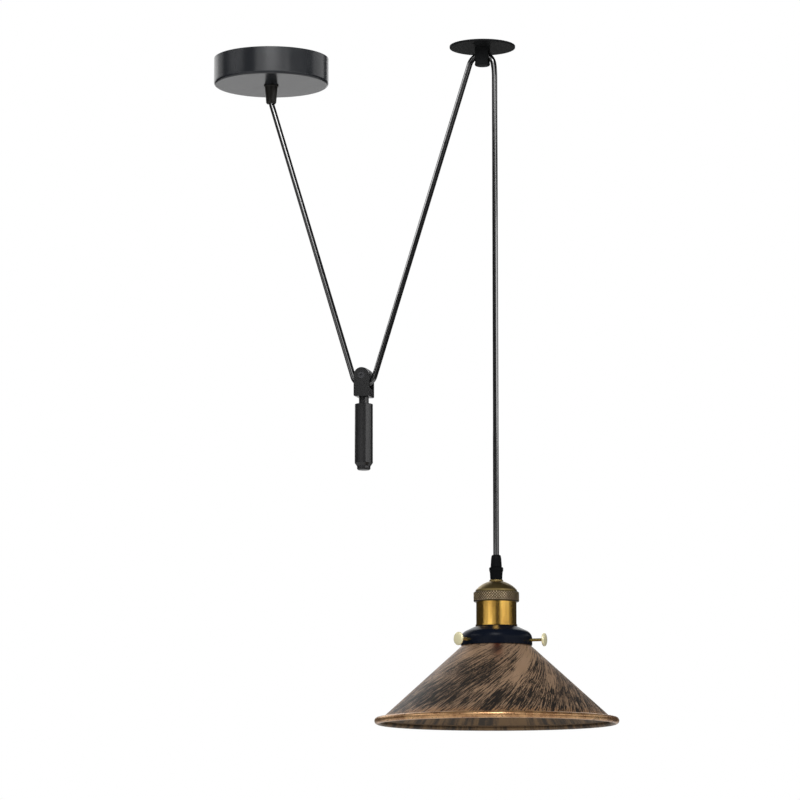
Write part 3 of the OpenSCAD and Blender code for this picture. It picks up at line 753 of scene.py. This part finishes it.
# A reddish brown smear is painted just below the neck, on the side that faces the camera.
smear = np.exp(-(((turn[None, :] - front + np.pi) % (2 * np.pi) - np.pi) * 0.038 / 0.005) ** 2
               - ((radius[:, None] - 0.036) / 0.014) ** 2) * outside[:, None]
ones = np.ones((1, segments))
profile_points = np.stack([lamp_x + radius[:, None] * np.cos(turn),
                           radius[:, None] * np.sin(turn),
                           grip_top + height[:, None] * ones], axis=-1)
faces = grid_faces(len(shade_profile), segments, True)[:, ::-1]
shade = piece("spun_shade", profile_points.reshape(-1, 3), faces,
              brush=brush.reshape(-1, 3), pressure=pressure.ravel(),
              rim=(rim[:, None] * ones).ravel(), inside=(inside[:, None] * ones).ravel(),
              near_neck=(np.clip((0.075 - radius) / 0.03, 0, 1)[:, None] * ones).ravel(),
              foot=(outside[:, None] * np.clip((radius[:, None] - 0.105) / 0.008, 0, 1)
                    * ones).ravel(),
              smear=smear.ravel())

copper = Finish("brushed_copper", {"Coat Roughness": 0.4, "Specular IOR Level": 0.35})
brush_at = copper.attribute("brush", "Vector")
near_neck = copper.attribute("near_neck")
hairs = copper.noise(brush_at, 0.0011, 3, 0.7) * (1 - near_neck) \
    + copper.noise(brush_at, 0.0024, 3, 0.7) * near_neck
strands = copper.noise(brush_at, 0.0045, 2, 0.5)
ragged = copper.noise(copper.place(), 0.001, 2, 0.6)
patches = copper.noise(copper.place(), 0.016, 3)
wide = copper.noise(brush_at, 0.007, 3, 0.6)
press = copper.attribute("pressure")
inside_and_bead_shade, edge = copper.attribute("inside"), copper.attribute("rim")
ink = hairs * 0.68 + strands * 0.1 + ragged * 0.22 + (press - 0.5) * 0.35 + (patches - 0.5) * 0.1
stroke = copper.step(ink, 0.485, 0.515) * (1 - inside_and_bead_shade)
streak = copper.step(wide * 0.8 + ragged * 0.2, 0.42, 0.6) * inside_and_bead_shade
speck = copper.step(ragged * 0.6 + patches * 0.4, 0.54, 0.6) * edge
tan = copper.mix(copper.mix((0.37, 0.235, 0.14), (0.47, 0.31, 0.2), patches),
                 (0.4, 0.19, 0.07), copper.attribute("foot") * 0.9)
reddish_neck_smear = copper.mix(tan, (0.12, 0.026, 0.01), copper.attribute("smear"))
bead_copper = copper.mix((0.36, 0.18, 0.075), (0.8, 0.47, 0.22),
                         copper.step(patches, 0.35, 0.65))
orange = copper.mix(reddish_neck_smear, bead_copper, edge)
# The inside's dark brown and streaks are its own finish; on the bead's inward half the dark brown
# is painted shade.
brown = copper.mix(orange, (0.175, 0.105, 0.048), inside_and_bead_shade)
marks = 1 - (1 - stroke * (1 - edge)) * (1 - streak * 0.85) * (1 - speck * 0.8)
copper.feed({
    "Base Color": copper.mix(brown, (0.012, 0.009, 0.007), marks),
    "Metallic": 0.45 - marks * 0.3 + edge * 0.3,
    "Roughness": 0.42 + marks * 0.1 + patches * 0.08 - edge * 0.18,
    "Coat Weight": 0.16 + edge * 0.2,
    "Normal": copper.bump(marks, 0.00003, copper.bump(hairs, 0.00003))})
copper.on(shade)
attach(shade, "lamp")
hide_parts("shade")


# ---------------------------------------------------------------------------------
# Studio. A white world with a pale floor far below the lamp. Upright softboxes all round
# make narrow light bands, with dark gaps between them, so that metal keeps its edges.
def softbox(name, centre, target, width, height, radiance):
    """A rectangular lamp facing its target. Power is pi * area * radiance, in watts."""
    light = bpy.data.lights.new(name, "AREA")
    light.shape = "RECTANGLE"
    light.size, light.size_y = width, height
    light.energy = math.pi * width * height * radiance
    lamp = bpy.data.objects.new(name, light)
    lamp.location = centre
    lamp.rotation_euler = (Vector(target) - Vector(centre)).to_track_quat("-Z", "Y").to_euler()
    lamp.visible_camera = False
    scene.collection.objects.link(lamp)
    return lamp


def from_front(degrees, distance, height, about=(lamp_x, 0)):
    """A point that far from an upright line, turned to the right from the camera."""
    a = front + math.radians(degrees)
    return (about[0] + distance * math.cos(a), about[1] + distance * math.sin(a), height)


def panel(name, left, right, low, high, radiance):
    """An upright softbox 5 m off that spans those angles and those heights."""
    middle_z = (low + high) / 2
    width = 2 * 5 * math.tan(math.radians(right - left) / 2)
    softbox(name, from_front((left + right) / 2, 5, middle_z), (lamp_x, 0, middle_z),
            width, high - low, radiance)


panel("left_low", -80, -6, -0.65, 0.04, 1.0)
panel("left_core", -50, -26, -0.65, 0.0, 0.9)
panel("right_low", 17, 77, -0.55, 0.2, 0.75)
panel("right_core", 24, 48, -0.5, 0.1, 0.42)
panel("right_mid", 26, 66, 0.28, 0.8, 3.4)
panel("right_far", 66, 98, 0.18, 0.8, 2.3)
panel("right_top", 16, 36, 0.82, 1.15, 3.5)
panel("right_side", 95, 135, 0.95, 1.6, 1.3)
panel("left_high", -94, -60, 1.5, 2.3, 5.5)
panel("left_side", -135, -112, 0.85, 1.5, 0.8)
panel("front_high", -32, 18, 1.05, 1.7, 2.5)
softbox("high_box", from_front(1, 2.2, 1.15, (0, 0)), (0, 0, -0.02), 1, 0.8, 13)
softbox("back_box", from_front(-165, 1.6, 0.3), (lamp_x, 0, -0.5), 2.2, 1, 1.3)

bpy.ops.mesh.primitive_plane_add(size=5, location=(0, 0, -1.6))
floor = bpy.context.object
floor.name = "studio_floor"
pale = Finish("floor_paper", {"Roughness": 0.9})
pale.feed({"Base Color": pale.mix((0.8, 0.8, 0.8), (0.84, 0.84, 0.84),
                                  pale.noise(pale.place(), 0.4))})
pale.on(floor)

world = bpy.data.worlds.new("studio")
scene.world = world
world.use_nodes = True
nodes, links = world.node_tree.nodes, world.node_tree.links
background = nodes["Background"]
path = nodes.new("ShaderNodeLightPath")
coordinate = nodes.new("ShaderNodeTexCoord")
behind = nodes.new("ShaderNodeVectorMath")
behind.operation = "DOT_PRODUCT"
behind.inputs[1].default_value = unit(np.array([-math.sin(view_turn), math.cos(view_turn),
                                                -0.19])).tolist()
links.new(coordinate.outputs["Generated"], behind.inputs[0])
backdrop = nodes.new("ShaderNodeMapRange")
backdrop.interpolation_type = "SMOOTHSTEP"
for key, value in {"From Min": 0.93, "From Max": 0.99, "To Min": 0.035, "To Max": 0.68}.items():
    backdrop.inputs[key].default_value = value
links.new(behind.outputs["Value"], backdrop.inputs["Value"])
shown = nodes.new("ShaderNodeMath")
shown.operation = "MAXIMUM"
links.new(path.outputs["Is Camera Ray"], shown.inputs[0])
links.new(path.outputs["Is Transmission Ray"], shown.inputs[1])
glossy = nodes.new("ShaderNodeMix")
glossy.inputs[2].default_value = 0.45
links.new(path.outputs["Is Glossy Ray"], glossy.inputs[0])
links.new(backdrop.outputs[0], glossy.inputs[3])
strength = nodes.new("ShaderNodeMath")
strength.operation = "MAXIMUM"
links.new(shown.outputs[0], strength.inputs[0])
links.new(glossy.outputs[0], strength.inputs[1])
links.new(strength.outputs[0], background.inputs["Strength"])
background.inputs["Color"].default_value = (1, 1, 1, 1)

scene.view_settings.view_transform = "Standard"
